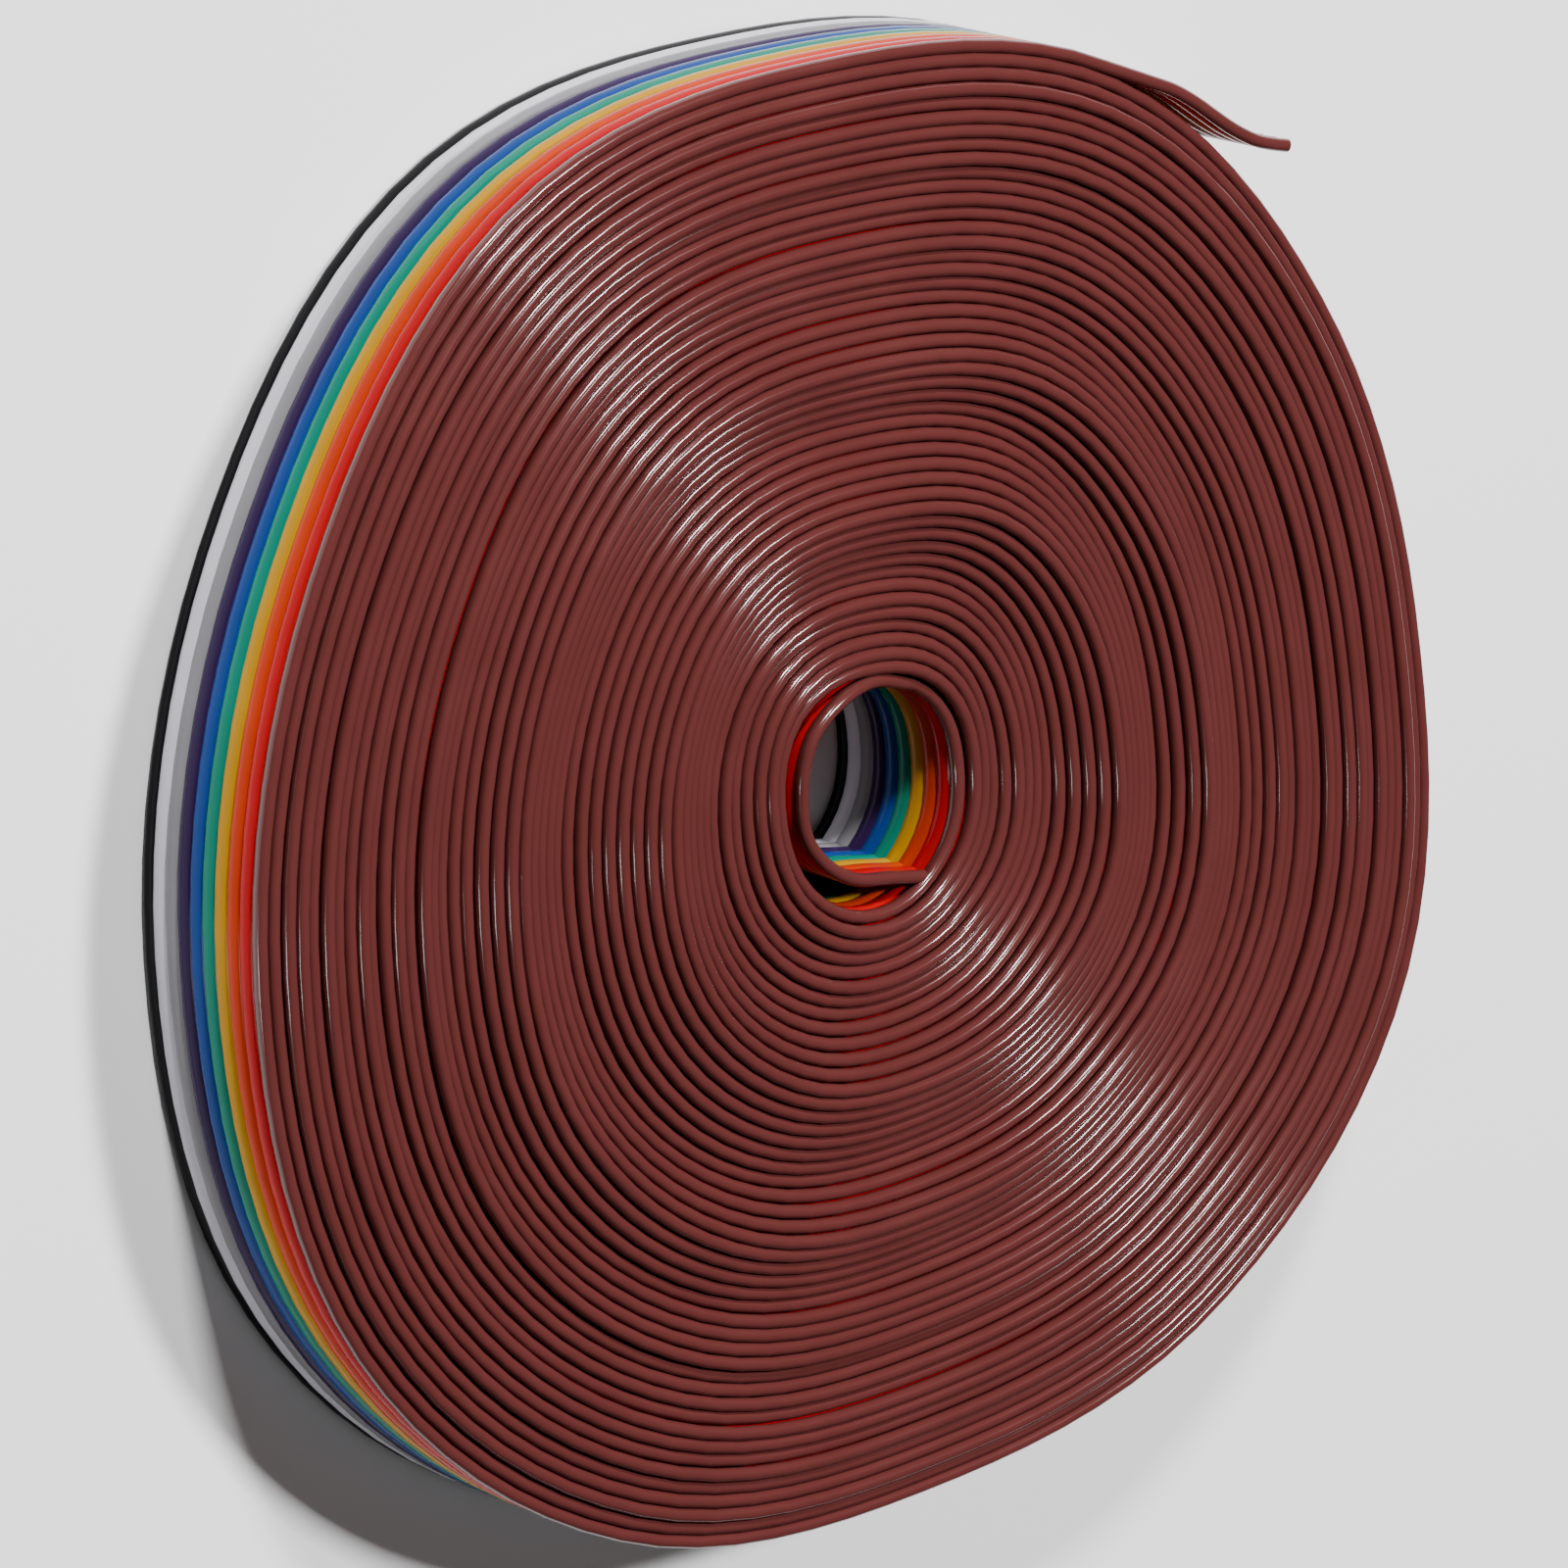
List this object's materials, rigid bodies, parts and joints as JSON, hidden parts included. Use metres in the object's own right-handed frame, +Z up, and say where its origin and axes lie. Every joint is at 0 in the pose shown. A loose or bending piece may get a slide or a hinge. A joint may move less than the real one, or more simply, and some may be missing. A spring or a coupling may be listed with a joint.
{
  "type": "coiled ribbon cable",
  "caption": "Rainbow flat ribbon cable with insulated stranded wires side by side at 1.27 mm pitch, wound into a tight flat coil with a hollow centre and both ends cut square.",
  "frame": {"origin": "on the axis of the coil's tight turns, at the level of the surface that the black edge lies on", "axes": "+Z up along the coil's axis, from the black edge to the brown edge. +X and +Y lie in the plane of the coil; the outer cut end points to +X and slightly to -Y"},
  "size_m": [0.0978, 0.0984, 0.0123],
  "materials": {
    "brown_pvc": "semi-gloss flexible PVC, brown",
    "red_pvc": "semi-gloss flexible PVC, red",
    "orange_pvc": "semi-gloss flexible PVC, orange",
    "yellow_pvc": "semi-gloss flexible PVC, yellow",
    "green_pvc": "semi-gloss flexible PVC, green",
    "blue_pvc": "semi-gloss flexible PVC, blue",
    "violet_pvc": "semi-gloss flexible PVC, violet",
    "grey_pvc": "semi-gloss flexible PVC, grey",
    "white_pvc": "semi-gloss flexible PVC, white",
    "black_pvc": "semi-gloss flexible PVC, black",
    "copper_strand": "tinned copper strands, freshly cut"
  },
  "bodies": {
    "root": {"brown_insulation": "brown_pvc", "red_insulation": "red_pvc", "orange_insulation": "orange_pvc", "yellow_insulation": "yellow_pvc", "green_insulation": "green_pvc", "blue_insulation": "blue_pvc", "violet_insulation": "violet_pvc", "grey_insulation": "grey_pvc", "white_insulation": "white_pvc", "black_insulation": "black_pvc", "brown_conductor": "copper_strand", "red_conductor": "copper_strand", "orange_conductor": "copper_strand", "yellow_conductor": "copper_strand", "green_conductor": "copper_strand", "blue_conductor": "copper_strand", "violet_conductor": "copper_strand", "grey_conductor": "copper_strand", "white_conductor": "copper_strand", "black_conductor": "copper_strand"}
  },
  "joints": []
}
